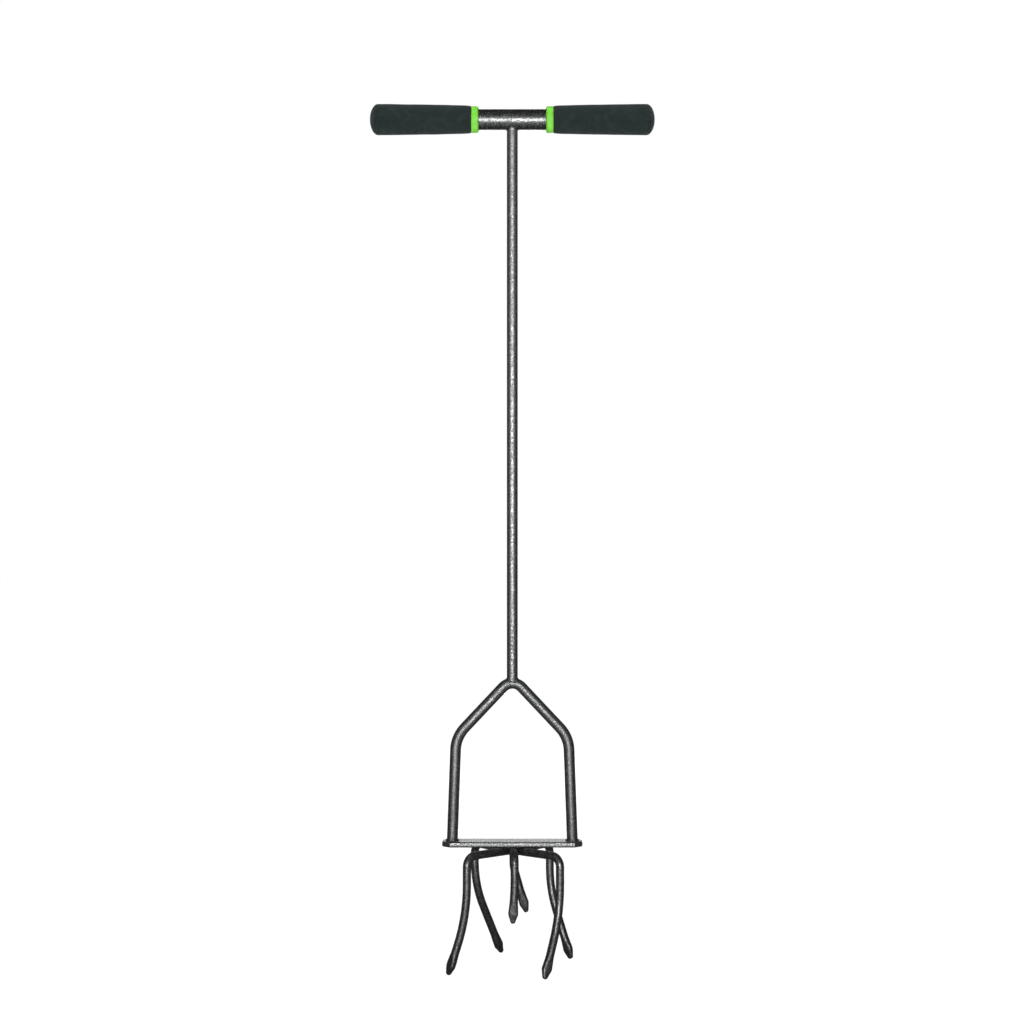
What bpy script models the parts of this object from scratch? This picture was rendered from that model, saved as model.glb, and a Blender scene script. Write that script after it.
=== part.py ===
"""Twist tiller: a T-handled garden tool with a foot plate and six swept tines.

Units are metres and +Z is up.  X runs along the handle and the front of the tool
faces -Y.  The tips of the four outer tines stand on Z = 0, below the shaft.
"""

import math
from typing import NamedTuple

import bmesh
import bpy
from mathutils import Matrix, Vector

# Clearance that stands for contact between two neighbouring pieces
FIT = 0.0003

# Crossbar: a steel tube under a textured coating
CROSSBAR_DIAMETER = 0.0227
CROSSBAR_WALL = 0.0020
BARE_HALF_LENGTH = 0.0374
SHAFT_CLEAR_LENGTH = 0.6054

# Shaft and yoke: round steel bar
SHAFT_DIAMETER = 0.0120
YOKE_DIAMETER = 0.0120
YOKE_FOOT_HALF_SPAN = 0.0663
YOKE_SHOULDER_HALF_SPAN = 0.0622
YOKE_LEG_HEIGHT = 0.1142
YOKE_ROOF_HEIGHT = 0.0660
YOKE_SHOULDER_BEND = 0.0380
YOKE_APEX_BEND = 0.0144

# Foot plate: flat bar with cut corners
PLATE_THICKNESS = 0.0060
PLATE_DEPTH = 0.0320
PLATE_OVERHANG = 0.0110
PLATE_CORNER_CUT = 0.0085
PLATE_EDGE_ROUND = 0.0005

# Tines: round bar, bent down at the elbow, swept sideways and forged at the tip
TINE_DIAMETER = 0.0090
TINE_ELBOW_BEND = 0.0115
OUTER_TINE_DROP = 0.1332
CENTRE_TINE_DROP = 0.0797

# From the hub's centre to each leg
FRONT_LEFT_REACH = 0.0702
FRONT_RIGHT_REACH = 0.0731
BACK_REACH = 0.0712
CENTRE_REACH = 0.0361

# Upright stretch of each leg under its elbow
FRONT_STRAIGHT = 0.0190
BACK_RIGHT_STRAIGHT = 0.0155
BACK_LEFT_STRAIGHT = 0.0085
CENTRE_FRONT_STRAIGHT = 0.0180
CENTRE_BACK_STRAIGHT = 0.0075

# Radius of each leg's sweep
FRONT_LEFT_SWEEP = 0.2180
FRONT_RIGHT_SWEEP = 0.1540
BACK_RIGHT_SWEEP = 0.1420
BACK_LEFT_SWEEP = 0.1200
CENTRE_FRONT_SWEEP = 0.2000
CENTRE_BACK_SWEEP = 0.0300

# Forged tips: spread from FORGED_LENGTH to POINT_LENGTH before the end, then
# drawn to a blunt point with a rounded nose
FORGED_LENGTH = 0.0260
POINT_LENGTH = 0.0100
NOSE_LENGTH = 0.0022
TIP_WIDTH = 0.0108
TIP_THICKNESS = 0.0072
TIP_END_WIDTH = 0.0062
TIP_END_THICKNESS = 0.0046
NOSE_BLUNTNESS = 0.87

# Weld fillets: how far each one reaches from the bar that it goes round
CROSSBAR_WELD_LEG = 0.0016
APEX_WELD_LEG = 0.0013
APEX_WELD_SKIM = 0.0010
FOOT_WELD_LEG = 0.0018
HUB_WELD_RADIUS = 0.0145
HUB_WELD_DEPTH = 0.0036
FILLET_WAIST = 0.45

# Grips: a green core with a collar, inside a soft closed cover
COLLAR_WIDTH = 0.0079
COLLAR_DIAMETER = 0.0292
COLLAR_ROUND = 0.0018
COLLAR_FACE_ROUND = 0.0006
CORE_WALL = 0.0014
CORE_END_WALL = 0.0020
COVER_LENGTH = 0.1120
COVER_INNER_DIAMETER = 0.0300
COVER_OUTER_DIAMETER = 0.0343
COVER_DOME = 0.0092
COVER_EDGE_ROUND = 0.0012
COVER_END_WALL = 0.0050

# Facets
BAR_SIDES = 16
TURNED_STEPS = 32
ARC_STEP_DEGREES = 6.0
ROUND_STEP_DEGREES = 22.5
DOME_STEP_DEGREES = 11.25
BARREL_RINGS = 6
NOSE_RINGS = 2
POINT_RINGS = 2
SPREAD_RINGS = 5


class Tine(NamedTuple):
    """One tine, by where its leg stands and how the leg is swept."""

    name: str
    direction: float  # degrees from +X, seen from above
    reach: float  # hub centre to the leg's centre line
    drop: float  # plate underside to the tip
    straight: float  # length of upright leg under the elbow
    sweep: float  # radius of the sweep
    lean: float  # degrees from upright at the tip
    flare: float  # degrees that the sweep turns outwards from the twist
    turn: float  # degrees that the tip's flat turns from facing outwards


TINES = (
    Tine(
        "tine_front_left", 225.5, FRONT_LEFT_REACH, OUTER_TINE_DROP,
        FRONT_STRAIGHT, FRONT_LEFT_SWEEP, 18.0, 44.0, 0.0,
    ),
    Tine(
        "tine_front_right", 315.0, FRONT_RIGHT_REACH, OUTER_TINE_DROP,
        FRONT_STRAIGHT, FRONT_RIGHT_SWEEP, 22.7, 7.0, -25.0,
    ),
    Tine(
        "tine_back_right", 53.5, BACK_REACH, OUTER_TINE_DROP,
        BACK_RIGHT_STRAIGHT, BACK_RIGHT_SWEEP, 20.0, 5.0, 0.0,
    ),
    Tine(
        "tine_back_left", 126.5, BACK_REACH, OUTER_TINE_DROP,
        BACK_LEFT_STRAIGHT, BACK_LEFT_SWEEP, 25.4, 1.5, 15.0,
    ),
    Tine(
        "tine_centre_front", 274.0, CENTRE_REACH, CENTRE_TINE_DROP,
        CENTRE_FRONT_STRAIGHT, CENTRE_FRONT_SWEEP, 3.0, 0.0, 0.0,
    ),
    Tine(
        "tine_centre_back", 88.0, CENTRE_REACH, CENTRE_TINE_DROP,
        CENTRE_BACK_STRAIGHT, CENTRE_BACK_SWEEP, 16.0, 2.0, 0.0,
    ),
)

# The welds between the tines' arms, anticlockwise from the back right tine
HUB_WELDS = (
    "hub_weld_back_right",
    "hub_weld_back_left",
    "hub_weld_left",
    "hub_weld_front_left",
    "hub_weld_front_right",
    "hub_weld_right",
)

# Heights, worked out from the tips upwards
PLATE_BOTTOM_Z = OUTER_TINE_DROP
PLATE_TOP_Z = PLATE_BOTTOM_Z + PLATE_THICKNESS
YOKE_SHOULDER_Z = PLATE_TOP_Z + YOKE_LEG_HEIGHT
YOKE_CORNER_Z = YOKE_SHOULDER_Z + YOKE_ROOF_HEIGHT
ROOF_ANGLE = math.atan2(YOKE_SHOULDER_HALF_SPAN, YOKE_ROOF_HEIGHT)
YOKE_APEX_Z = YOKE_CORNER_Z - YOKE_APEX_BEND * (1.0 / math.sin(ROOF_ANGLE) - 1.0)
CROSSBAR_Z = YOKE_APEX_Z + (YOKE_DIAMETER + CROSSBAR_DIAMETER) / 2 + SHAFT_CLEAR_LENGTH

# Places along the handle, measured from the shaft
COVER_START_X = BARE_HALF_LENGTH + COLLAR_WIDTH
SLEEVE_BORE = CROSSBAR_DIAMETER / 2 + FIT
SLEEVE_RADIUS = SLEEVE_BORE + CORE_WALL
CORE_DEPTH = COVER_LENGTH - COVER_END_WALL - FIT
TUBE_DEPTH = CORE_DEPTH - CORE_END_WALL - FIT
CROSSBAR_LENGTH = 2 * (COVER_START_X + TUBE_DEPTH)

PLATE_LENGTH = 2 * (YOKE_FOOT_HALF_SPAN + PLATE_OVERHANG)


def clear_scene():
    """Remove every object that the scene starts with."""
    for old in list(bpy.data.objects):
        bpy.data.objects.remove(old, do_unlink=True)


def make_collection(name):
    """Add a collection to the scene."""
    group = bpy.data.collections.new(name)
    bpy.context.scene.collection.children.link(group)
    return group


def make_material(name, colour, roughness, metallic):
    """Make a plain finish."""
    material = bpy.data.materials.new(name)
    material.use_nodes = True
    material.diffuse_color = (*colour, 1.0)
    shader = material.node_tree.nodes["Principled BSDF"]
    shader.inputs["Base Color"].default_value = (*colour, 1.0)
    shader.inputs["Roughness"].default_value = roughness
    shader.inputs["Metallic"].default_value = metallic
    return material


clear_scene()
PARTS = make_collection("twist_tiller")
CUTTERS = make_collection("cutters")


def finish_mesh(part, material=None):
    """Give a part its finish and smooth its round faces."""
    mesh = part.data
    mesh.materials.clear()
    if material:
        mesh.materials.append(material)
    mesh.shade_smooth()
    mesh.set_sharp_from_angle(angle=math.radians(35))
    return part


def object_from_bmesh(name, bm, group):
    """Turn a bmesh into an object in a collection."""
    mesh = bpy.data.meshes.new(name)
    bm.to_mesh(mesh)
    bm.free()
    part = bpy.data.objects.new(name, mesh)
    group.objects.link(part)
    return part


def apply_modifiers(part):
    """Replace a part's mesh with its evaluated mesh."""
    bpy.context.view_layer.update()
    view = part.evaluated_get(bpy.context.evaluated_depsgraph_get())
    mesh = bpy.data.meshes.new_from_object(view)
    part.modifiers.clear()
    part.data = mesh
    return part


def bar(name, route, diameter, group=PARTS, sides=BAR_SIDES):
    """Sweep a round bar along a route of points, as a closed mesh."""
    curve = bpy.data.curves.new(name, "CURVE")
    curve.dimensions = "3D"
    curve.bevel_depth = diameter / 2
    curve.bevel_resolution = (sides - 4) // 2
    curve.use_fill_caps = True
    spline = curve.splines.new("POLY")
    spline.points.add(len(route) - 1)
    for point, place in zip(spline.points, route):
        point.co = (*place, 1.0)
    wire = bpy.data.objects.new(name, curve)
    group.objects.link(wire)
    bpy.context.view_layer.update()
    view = wire.evaluated_get(bpy.context.evaluated_depsgraph_get())
    mesh = bpy.data.meshes.new_from_object(view)
    bpy.data.objects.remove(wire, do_unlink=True)
    bpy.data.curves.remove(curve)

    bm = bmesh.new()
    bm.from_mesh(mesh)
    bmesh.ops.remove_doubles(bm, verts=bm.verts, dist=0.00001)
    bmesh.ops.recalc_face_normals(bm, faces=bm.faces)
    bm.to_mesh(mesh)
    bm.free()
    part = bpy.data.objects.new(name, mesh)
    group.objects.link(part)
    return part


def room(name, route, diameter, sides=BAR_SIDES):
    """The space that a bar and its clearance take up, as a cutter."""
    cutter = bar(name, route, diameter + 2 * FIT, CUTTERS, sides)
    cutter.hide_render = True
    cutter.display_type = "WIRE"
    return cutter


def trim(part, point, outward, above=-1.0):
    """Cut a closed part with a plane and close the cut face.

    Only the faces that lie higher than above are cut.
    """
    bm = bmesh.new()
    bm.from_mesh(part.data)
    faces = [face for face in bm.faces if min(v.co.z for v in face.verts) > above]
    edges = {edge for face in faces for edge in face.edges}
    verts = {vert for face in faces for vert in face.verts}
    cut = bmesh.ops.bisect_plane(
        bm,
        geom=faces + list(edges) + list(verts),
        dist=0.000001,
        plane_co=point,
        plane_no=outward,
        clear_outer=True,
    )
    rim = [item for item in cut["geom_cut"] if isinstance(item, bmesh.types.BMEdge)]
    bmesh.ops.holes_fill(bm, edges=rim, sides=0)
    bm.to_mesh(part.data)
    bm.free()
    return part


def cut_away(part, cutters):
    """Take the cutters' shapes out of a part."""
    for cutter in cutters:
        boolean = part.modifiers.new(f"less_{cutter.name}", "BOOLEAN")
        boolean.operation = "DIFFERENCE"
        boolean.solver = "EXACT"
        boolean.object = cutter
    return apply_modifiers(part)


def turned(name, profile, steps=TURNED_STEPS):
    """Turn a profile of (radius, height) points round Z.

    The profile runs down its outer side, and both its ends lie on the axis or
    meet each other.
    """
    bm = bmesh.new()
    points = [bm.verts.new((radius, 0.0, height)) for radius, height in profile]
    for start, end in zip(points, points[1:]):
        bm.edges.new((start, end))
    part = object_from_bmesh(name, bm, PARTS)
    screw = part.modifiers.new("turn", "SCREW")
    screw.axis = "Z"
    screw.steps = steps
    screw.render_steps = steps
    screw.use_merge_vertices = True
    screw.merge_threshold = 0.00001
    return apply_modifiers(part)


def arc(centre, radii, start, end, step=ROUND_STEP_DEGREES):
    """Points on a quarter or less of a circle or ellipse, angles in degrees."""
    count = max(2, round(abs(end - start) / step))
    angles = [math.radians(start + (end - start) * i / count) for i in range(count + 1)]
    return [(centre[0] + radii[0] * math.cos(a), centre[1] + radii[1] * math.sin(a)) for a in angles]


def rounded_route(corners, radii):
    """Replace each inner corner of a route by an arc of its own radius."""
    route = [corners[0]]
    for before, corner, after, radius in zip(corners, corners[1:], corners[2:], radii):
        inward = (corner - before).normalized()
        onward = (after - corner).normalized()
        turn = inward.angle(onward)
        setback = radius * math.tan(turn / 2)
        start = corner - inward * setback
        side = (onward - inward * inward.dot(onward)).normalized()
        count = max(2, math.ceil(math.degrees(turn) / ARC_STEP_DEGREES))
        for i in range(count + 1):
            angle = turn * i / count
            route.append(start + inward * radius * math.sin(angle) + side * radius * (1 - math.cos(angle)))
    route.append(corners[-1])
    return route


def yoke_route():
    """The yoke's centre line over its apex, run on a little below both feet."""
    foot = Vector((YOKE_FOOT_HALF_SPAN, 0.0, PLATE_TOP_Z))
    shoulder = Vector((YOKE_SHOULDER_HALF_SPAN, 0.0, YOKE_SHOULDER_Z))
    end = foot + (foot - shoulder).normalized() * YOKE_DIAMETER / 2
    apex = Vector((0.0, 0.0, YOKE_CORNER_Z))
    mirror = Vector((-1.0, 1.0, 1.0))
    corners = [end * mirror, shoulder * mirror, apex, shoulder, end]
    return rounded_route(corners, (YOKE_SHOULDER_BEND, YOKE_APEX_BEND, YOKE_SHOULDER_BEND))


def tine_route(tine):
    """A tine's centre line, from behind the hub's centre to the tip."""
    arm_z = PLATE_BOTTOM_Z - FIT - TINE_DIAMETER / 2
    outward = heading(tine.direction)
    aside = heading(tine.direction - 90.0 + tine.flare)
    down = Vector((0.0, 0.0, -1.0))

    hub = Vector((0.0, 0.0, arm_z))
    elbow_corner = hub + outward * tine.reach
    lean = math.radians(tine.lean)
    setback = tine.sweep * math.tan(lean / 2)
    sweep_corner = elbow_corner + down * (TINE_ELBOW_BEND + tine.straight + setback)
    end_width = forged_size(0.0, TIP_WIDTH, TIP_END_WIDTH)
    tip_z = PLATE_BOTTOM_Z - tine.drop + end_width / 2 * math.sin(lean)
    slope = down * math.cos(lean) + aside * math.sin(lean)
    tip = sweep_corner + slope * ((sweep_corner.z - tip_z) / math.cos(lean))

    corners = [hub - outward * TINE_DIAMETER, elbow_corner, sweep_corner, tip]
    route = rounded_route(corners, (TINE_ELBOW_BEND, tine.sweep))
    forged = [tip - slope * station for station in reversed(forged_stations())]
    shank_end = FORGED_LENGTH + TINE_DIAMETER / 8
    shank = [point for point in route[:-1] if (tip - point).dot(slope) > shank_end]
    return shank + forged, tip, slope


def heading(degrees):
    """The level direction at an angle from +X, seen from above."""
    angle = math.radians(degrees)
    return Vector((math.cos(angle), math.sin(angle), 0.0))


def smooth_step(value):
    """Ease from 0 to 1."""
    value = min(max(value, 0.0), 1.0)
    return value * value * (3 - 2 * value)


def forged_stations():
    """Distances from a tine's end at which its tip has a ring of points."""
    spans = (
        (0.0, NOSE_LENGTH, NOSE_RINGS),
        (NOSE_LENGTH, POINT_LENGTH, POINT_RINGS),
        (POINT_LENGTH, FORGED_LENGTH, SPREAD_RINGS),
    )
    stations = [0.0]
    for start, end, rings in spans:
        stations += [start + (end - start) * i / rings for i in range(1, rings + 1)]
    return stations


def forged_size(along, full, end):
    """How wide or thick a tip is, at a distance from its end."""
    spread = smooth_step((FORGED_LENGTH - along) / (FORGED_LENGTH - POINT_LENGTH))
    size = TINE_DIAMETER + (full - TINE_DIAMETER) * spread
    size += (end - size) * max(0.0, 1.0 - along / POINT_LENGTH)
    closeness = max(0.0, 1.0 - along / NOSE_LENGTH)
    return size * math.sqrt(1.0 - (NOSE_BLUNTNESS * closeness) ** 2)


def forge_tip(part, tip, slope, facing):
    """Flatten the end of a tine, spread it and draw it to a blunt point."""
    face = (facing - slope * facing.dot(slope)).normalized()
    edge = slope.cross(face)
    for vertex in part.data.vertices:
        offset = vertex.co - tip
        along = max(0.0, -offset.dot(slope))
        if along > FORGED_LENGTH:
            continue
        width = forged_size(along, TIP_WIDTH, TIP_END_WIDTH) / TINE_DIAMETER
        thickness = forged_size(along, TIP_THICKNESS, TIP_END_THICKNESS) / TINE_DIAMETER
        across = offset.dot(edge) * width
        through = offset.dot(face) * thickness
        vertex.co = tip - slope * along + edge * across + face * through


def mitre_planes(tine):
    """Upright planes half way to the neighbouring tines, facing the neighbours."""
    directions = sorted(other.direction for other in TINES)
    place = directions.index(tine.direction)
    before = directions[place - 1]
    after = directions[(place + 1) % len(directions)]
    gap_before = (tine.direction - before) % 360.0
    gap_after = (after - tine.direction) % 360.0
    planes = []
    for angle, sign in ((tine.direction - gap_before / 2, -1), (tine.direction + gap_after / 2, 1)):
        normal = heading(angle + 90.0) * sign
        planes.append((-normal * FIT / 2, normal))
    return planes


def make_crossbar(steel):
    """The handle's tube, which runs into both grips."""
    bm = bmesh.new()
    turn = Matrix.Rotation(math.pi / 2, 4, "Y")
    bmesh.ops.create_cone(
        bm,
        segments=TURNED_STEPS,
        radius1=CROSSBAR_DIAMETER / 2,
        radius2=CROSSBAR_DIAMETER / 2,
        depth=CROSSBAR_LENGTH,
        matrix=Matrix.Translation((0.0, 0.0, CROSSBAR_Z)) @ turn,
    )
    tube = object_from_bmesh("crossbar_tube", bm, PARTS)
    wall = tube.modifiers.new("wall", "SOLIDIFY")
    wall.thickness = CROSSBAR_WALL
    wall.offset = -1.0
    return finish_mesh(apply_modifiers(tube), steel)


def make_rooms():
    """The cutters that shape the ends of the shaft and the insides of the welds."""
    reach = Vector((BARE_HALF_LENGTH, 0.0, 0.0))
    middle = Vector((0.0, 0.0, CROSSBAR_Z))
    shaft_foot = Vector((0.0, 0.0, YOKE_APEX_Z - YOKE_DIAMETER))
    crossbar = room("crossbar_room", [middle - reach, middle + reach], CROSSBAR_DIAMETER, TURNED_STEPS)
    shaft = room("shaft_room", [shaft_foot, middle], SHAFT_DIAMETER)
    yoke = room("yoke_room", yoke_route(), YOKE_DIAMETER)
    return crossbar, shaft, yoke


def make_shaft(steel, crossbar_room, yoke_room):
    """The upright bar, its ends shaped to sit on the crossbar and the yoke."""
    ends = [Vector((0.0, 0.0, YOKE_APEX_Z)), Vector((0.0, 0.0, CROSSBAR_Z))]
    shaft = bar("shaft_rod", ends, SHAFT_DIAMETER)
    return finish_mesh(cut_away(shaft, [crossbar_room, yoke_room]), steel)


def make_yoke(steel):
    """The bent bar that joins the shaft to both ends of the foot plate."""
    yoke = bar("yoke_frame", yoke_route(), YOKE_DIAMETER)
    trim(yoke, Vector((0.0, 0.0, PLATE_TOP_Z + FIT)), Vector((0.0, 0.0, -1.0)))
    return finish_mesh(yoke, steel)


def make_foot_plate(steel):
    """The flat bar that the foot presses on, with its four corners cut off."""
    bm = bmesh.new()
    size = Matrix.Diagonal((PLATE_LENGTH, PLATE_DEPTH, PLATE_THICKNESS, 1.0))
    middle_z = (PLATE_BOTTOM_Z + PLATE_TOP_Z) / 2
    bmesh.ops.create_cube(bm, size=1.0, matrix=Matrix.Translation((0.0, 0.0, middle_z)) @ size)
    upright = [e for e in bm.edges if abs(e.verts[0].co.z - e.verts[1].co.z) > PLATE_THICKNESS / 2]
    bmesh.ops.bevel(bm, geom=upright, offset=PLATE_CORNER_CUT, segments=1, affect="EDGES", profile=0.5)
    rims = [e for e in bm.edges if e.calc_face_angle(0.0) > math.radians(30)]
    bmesh.ops.bevel(bm, geom=rims, offset=PLATE_EDGE_ROUND, segments=2, affect="EDGES", profile=0.5)
    return finish_mesh(object_from_bmesh("foot_plate", bm, PARTS), steel)


def make_tine(tine, steel):
    """One tine: a mitred arm under the plate, an elbow and a swept, forged leg."""
    route, tip, slope = tine_route(tine)
    part = bar(tine.name, route, TINE_DIAMETER)
    forge_tip(part, tip, slope, heading(tine.direction + tine.turn))
    below_arm = PLATE_BOTTOM_Z - 2 * FIT - TINE_DIAMETER
    for point, normal in mitre_planes(tine):
        trim(part, point, normal, below_arm)
    return finish_mesh(part, steel)


def fillet_profile(bar_radius, leg, seat_z, away, root):
    """A weld fillet's section round a bar, as (radius, height) points.

    It is widest at seat_z and dies out along the bar in the direction of away,
    +1 or -1.  Behind its seat it goes on straight for root, to be cut to fit.
    """
    crest = bar_radius + 2 * FIT
    profile = [
        (0.0, seat_z + away * leg),
        (crest, seat_z + away * leg),
        (bar_radius + leg * FILLET_WAIST, seat_z + away * leg * FILLET_WAIST),
        (bar_radius + leg, seat_z),
    ]
    if root > 0.0:
        profile.append((bar_radius + leg, seat_z - away * root))
    profile.append((0.0, seat_z - away * root))
    return profile if away > 0 else profile[::-1]


def make_shaft_welds(steel, crossbar_room, shaft_room, yoke_room):
    """The welds at the top and the bottom of the shaft."""
    radius = SHAFT_DIAMETER / 2
    bar_bottom_z = CROSSBAR_Z - CROSSBAR_DIAMETER / 2
    profile = fillet_profile(radius, CROSSBAR_WELD_LEG, bar_bottom_z, -1, CROSSBAR_DIAMETER / 2)
    upper = turned("crossbar_weld", profile)
    finish_mesh(cut_away(upper, [crossbar_room, shaft_room]), steel)

    yoke_top_z = YOKE_APEX_Z + YOKE_DIAMETER / 2
    profile = fillet_profile(radius, APEX_WELD_LEG, yoke_top_z, 1, YOKE_DIAMETER / 2)
    lower = turned("apex_weld", profile)
    half_depth = max(SHAFT_DIAMETER, YOKE_DIAMETER) / 2 + APEX_WELD_SKIM
    lower.data.transform(Matrix.Diagonal((1.0, half_depth / (radius + APEX_WELD_LEG), 1.0, 1.0)))
    finish_mesh(cut_away(lower, [yoke_room, shaft_room]), steel)


def make_foot_welds(steel, yoke_room):
    """The welds round the yoke's two feet."""
    for name, side in (("foot_weld_left", -1), ("foot_weld_right", 1)):
        weld = turned(name, fillet_profile(YOKE_DIAMETER / 2, FOOT_WELD_LEG, 0.0, 1, 0.0))
        place = (side * YOKE_FOOT_HALF_SPAN, 0.0, PLATE_TOP_Z + FIT)
        weld.data.transform(Matrix.Translation(place))
        finish_mesh(cut_away(weld, [yoke_room]), steel)


def make_hub_welds(steel):
    """The weld metal under the plate, one piece in each corner between two arms."""
    top_z = PLATE_BOTTOM_Z - FIT
    profile = [(0.0, top_z), *arc((0.0, top_z), (HUB_WELD_RADIUS, HUB_WELD_DEPTH), 0, -90)]
    hub = Vector((0.0, 0.0, top_z - TINE_DIAMETER / 2))
    ring = sorted(TINES, key=lambda tine: tine.direction)
    rooms = {}
    for tine in ring:
        route = [hub, hub + heading(tine.direction) * tine.reach]
        rooms[tine.name] = room(f"{tine.name}_room", route, TINE_DIAMETER)
    for name, first, second in zip(HUB_WELDS, ring, ring[1:] + ring[:1]):
        weld = turned(name, profile)
        trim(weld, hub, heading(first.direction - 90.0))
        trim(weld, hub, heading(second.direction + 90.0))
        finish_mesh(cut_away(weld, [rooms[first.name], rooms[second.name]]), steel)


def make_grip(side, word, green, foam):
    """One end of the handle: a core with its collar, and the soft closed cover."""
    outwards = Matrix.Rotation(side * math.pi / 2, 4, "Y")
    place = Matrix.Translation((side * COVER_START_X, 0.0, CROSSBAR_Z)) @ outwards

    collar = COLLAR_DIAMETER / 2
    face = (collar - COLLAR_FACE_ROUND, -FIT - COLLAR_FACE_ROUND)
    back = (collar - COLLAR_ROUND, COLLAR_ROUND - COLLAR_WIDTH)
    core = [
        (0.0, CORE_DEPTH),
        (SLEEVE_RADIUS, CORE_DEPTH),
        (SLEEVE_RADIUS, -FIT),
        *arc(face, (COLLAR_FACE_ROUND, COLLAR_FACE_ROUND), 90, 0),
        *arc(back, (COLLAR_ROUND, COLLAR_ROUND), 0, -90),
        (SLEEVE_BORE, -COLLAR_WIDTH),
        (SLEEVE_BORE, TUBE_DEPTH + FIT),
        (0.0, TUBE_DEPTH + FIT),
    ]
    part = turned(f"grip_core_{word}", core)
    part.matrix_world = place
    finish_mesh(part, green)

    small = COVER_INNER_DIAMETER / 2
    large = COVER_OUTER_DIAMETER / 2
    barrel = COVER_LENGTH - COVER_DOME
    cover = arc((0.0, barrel), (large, COVER_DOME), 90, 0, DOME_STEP_DEGREES)
    cover[0] = (0.0, COVER_LENGTH)
    for ring in range(BARREL_RINGS - 1, 0, -1):
        share = ring / BARREL_RINGS
        cover.append((small + (large - small) * share, barrel * share**2))
    edge = (small - COVER_EDGE_ROUND, COVER_EDGE_ROUND)
    cover += arc(edge, (COVER_EDGE_ROUND, COVER_EDGE_ROUND), 0, -90)
    cover.append((SLEEVE_RADIUS + FIT, 0.0))
    cover.append((SLEEVE_RADIUS + FIT, CORE_DEPTH + FIT))
    cover.append((0.0, CORE_DEPTH + FIT))
    part = turned(f"grip_cover_{word}", cover)
    part.matrix_world = place
    finish_mesh(part, foam)


def main():
    """Build the tool."""
    steel = make_material("coated_steel", (0.075, 0.078, 0.080), 0.42, 0.6)
    green = make_material("green_polymer", (0.20, 0.78, 0.07), 0.45, 0.0)
    foam = make_material("dark_foam", (0.024, 0.034, 0.032), 0.85, 0.0)
    crossbar_room, shaft_room, yoke_room = make_rooms()
    make_crossbar(steel)
    make_shaft(steel, crossbar_room, yoke_room)
    make_yoke(steel)
    make_foot_plate(steel)
    for tine in TINES:
        make_tine(tine, steel)
    make_shaft_welds(steel, crossbar_room, shaft_room, yoke_room)
    make_foot_welds(steel, yoke_room)
    make_hub_welds(steel)
    make_grip(-1, "left", green, foam)
    make_grip(1, "right", green, foam)


main()
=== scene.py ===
"""Twist tiller: the looks of a T-handled garden tool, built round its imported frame.

Units are metres and +Z is up. X runs along the handle, the front of the tool faces
-Y, and the tips of its four outer tines stand on Z = 0.
"""

import logging
import math
from dataclasses import dataclass
from enum import Enum
from typing import Any, Callable, ClassVar, Self, Sequence

import bmesh
import bpy
from bmesh.types import BMEdge, BMVert
from bpy.types import Material, Node, NodeSocket, Object
from mathutils import Matrix, Vector, noise


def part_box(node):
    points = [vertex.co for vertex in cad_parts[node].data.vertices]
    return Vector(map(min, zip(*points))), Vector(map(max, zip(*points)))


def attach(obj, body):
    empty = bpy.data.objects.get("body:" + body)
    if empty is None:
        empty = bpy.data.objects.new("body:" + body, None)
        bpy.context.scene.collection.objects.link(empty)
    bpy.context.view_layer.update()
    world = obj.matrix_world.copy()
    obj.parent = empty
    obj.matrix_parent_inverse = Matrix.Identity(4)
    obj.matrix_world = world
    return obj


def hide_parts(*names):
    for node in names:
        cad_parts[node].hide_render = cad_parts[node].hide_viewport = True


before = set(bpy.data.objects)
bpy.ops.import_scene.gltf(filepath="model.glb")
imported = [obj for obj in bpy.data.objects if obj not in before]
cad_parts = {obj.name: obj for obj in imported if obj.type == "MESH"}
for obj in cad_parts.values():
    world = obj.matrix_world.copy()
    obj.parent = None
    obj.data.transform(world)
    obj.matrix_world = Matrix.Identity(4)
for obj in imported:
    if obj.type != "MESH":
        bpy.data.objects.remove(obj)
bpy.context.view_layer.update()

Point = tuple[float, float, float]
Colour = tuple[float, float, float, float]

# A colour, or the output of a node that gives one
Tint = Colour | NodeSocket

# A node's properties or the values of its sockets, by name or place
Values = dict[str | int, Any]

# Points and edges of a mesh
Parts = list[BMVert | BMEdge]

BODY = "root"

# Clearance that stands for contact between two neighbouring pieces
FIT = 0.0003

# The round bar that the shaft and the yoke are made of
BAR_DIAMETER = 0.0120

BAR_SIDES = 48
TURNED_SIDES = 96

# The largest turn between two rings of a bend, and the fewest steps in one
BEND_STEP_DEGREES = 3.0
BEND_LEAST_STEPS = 2

# Faces that meet at more than this angle keep a crisp edge between them
CRISP_DEGREES = 38.0

# Points closer than this are one point
MERGE_DISTANCE = 0.000002

# A seat on a round bar is followed out to this share of the bar's radius
SEAT_SHARE = 0.98

FULL_TURN = 360.0
QUARTER_TURN = 90.0

# How strong each finer layer of a noise is beside the last
NOISE_FADE = 0.55

# The places of a Mix node's colour sockets, which share their names with its others
MIX_FACTOR, MIX_FIRST, MIX_SECOND, MIX_RESULT = 0, 6, 7, 2

UP = Vector((0.0, 0.0, 1.0))
DOWN = Vector((0.0, 0.0, -1.0))

log = logging.getLogger("twist_tiller")


class Side(Enum):
    """An end of the handle or of the foot plate, with its sign along X."""

    LEFT = -1
    RIGHT = 1

    @property
    def word(self) -> str:
        """The end's name, as the frame's nodes have it."""
        return self.name.lower()


class Slot(Enum):
    """The record's material slots."""

    STEEL = "coated_steel"
    GREEN = "green_polymer"
    FOAM = "dark_foam"


def heading(degrees: float) -> Vector:
    """The level direction at an angle from +X, seen from above."""
    angle = math.radians(degrees)
    return Vector((math.cos(angle), math.sin(angle), 0.0))


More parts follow.
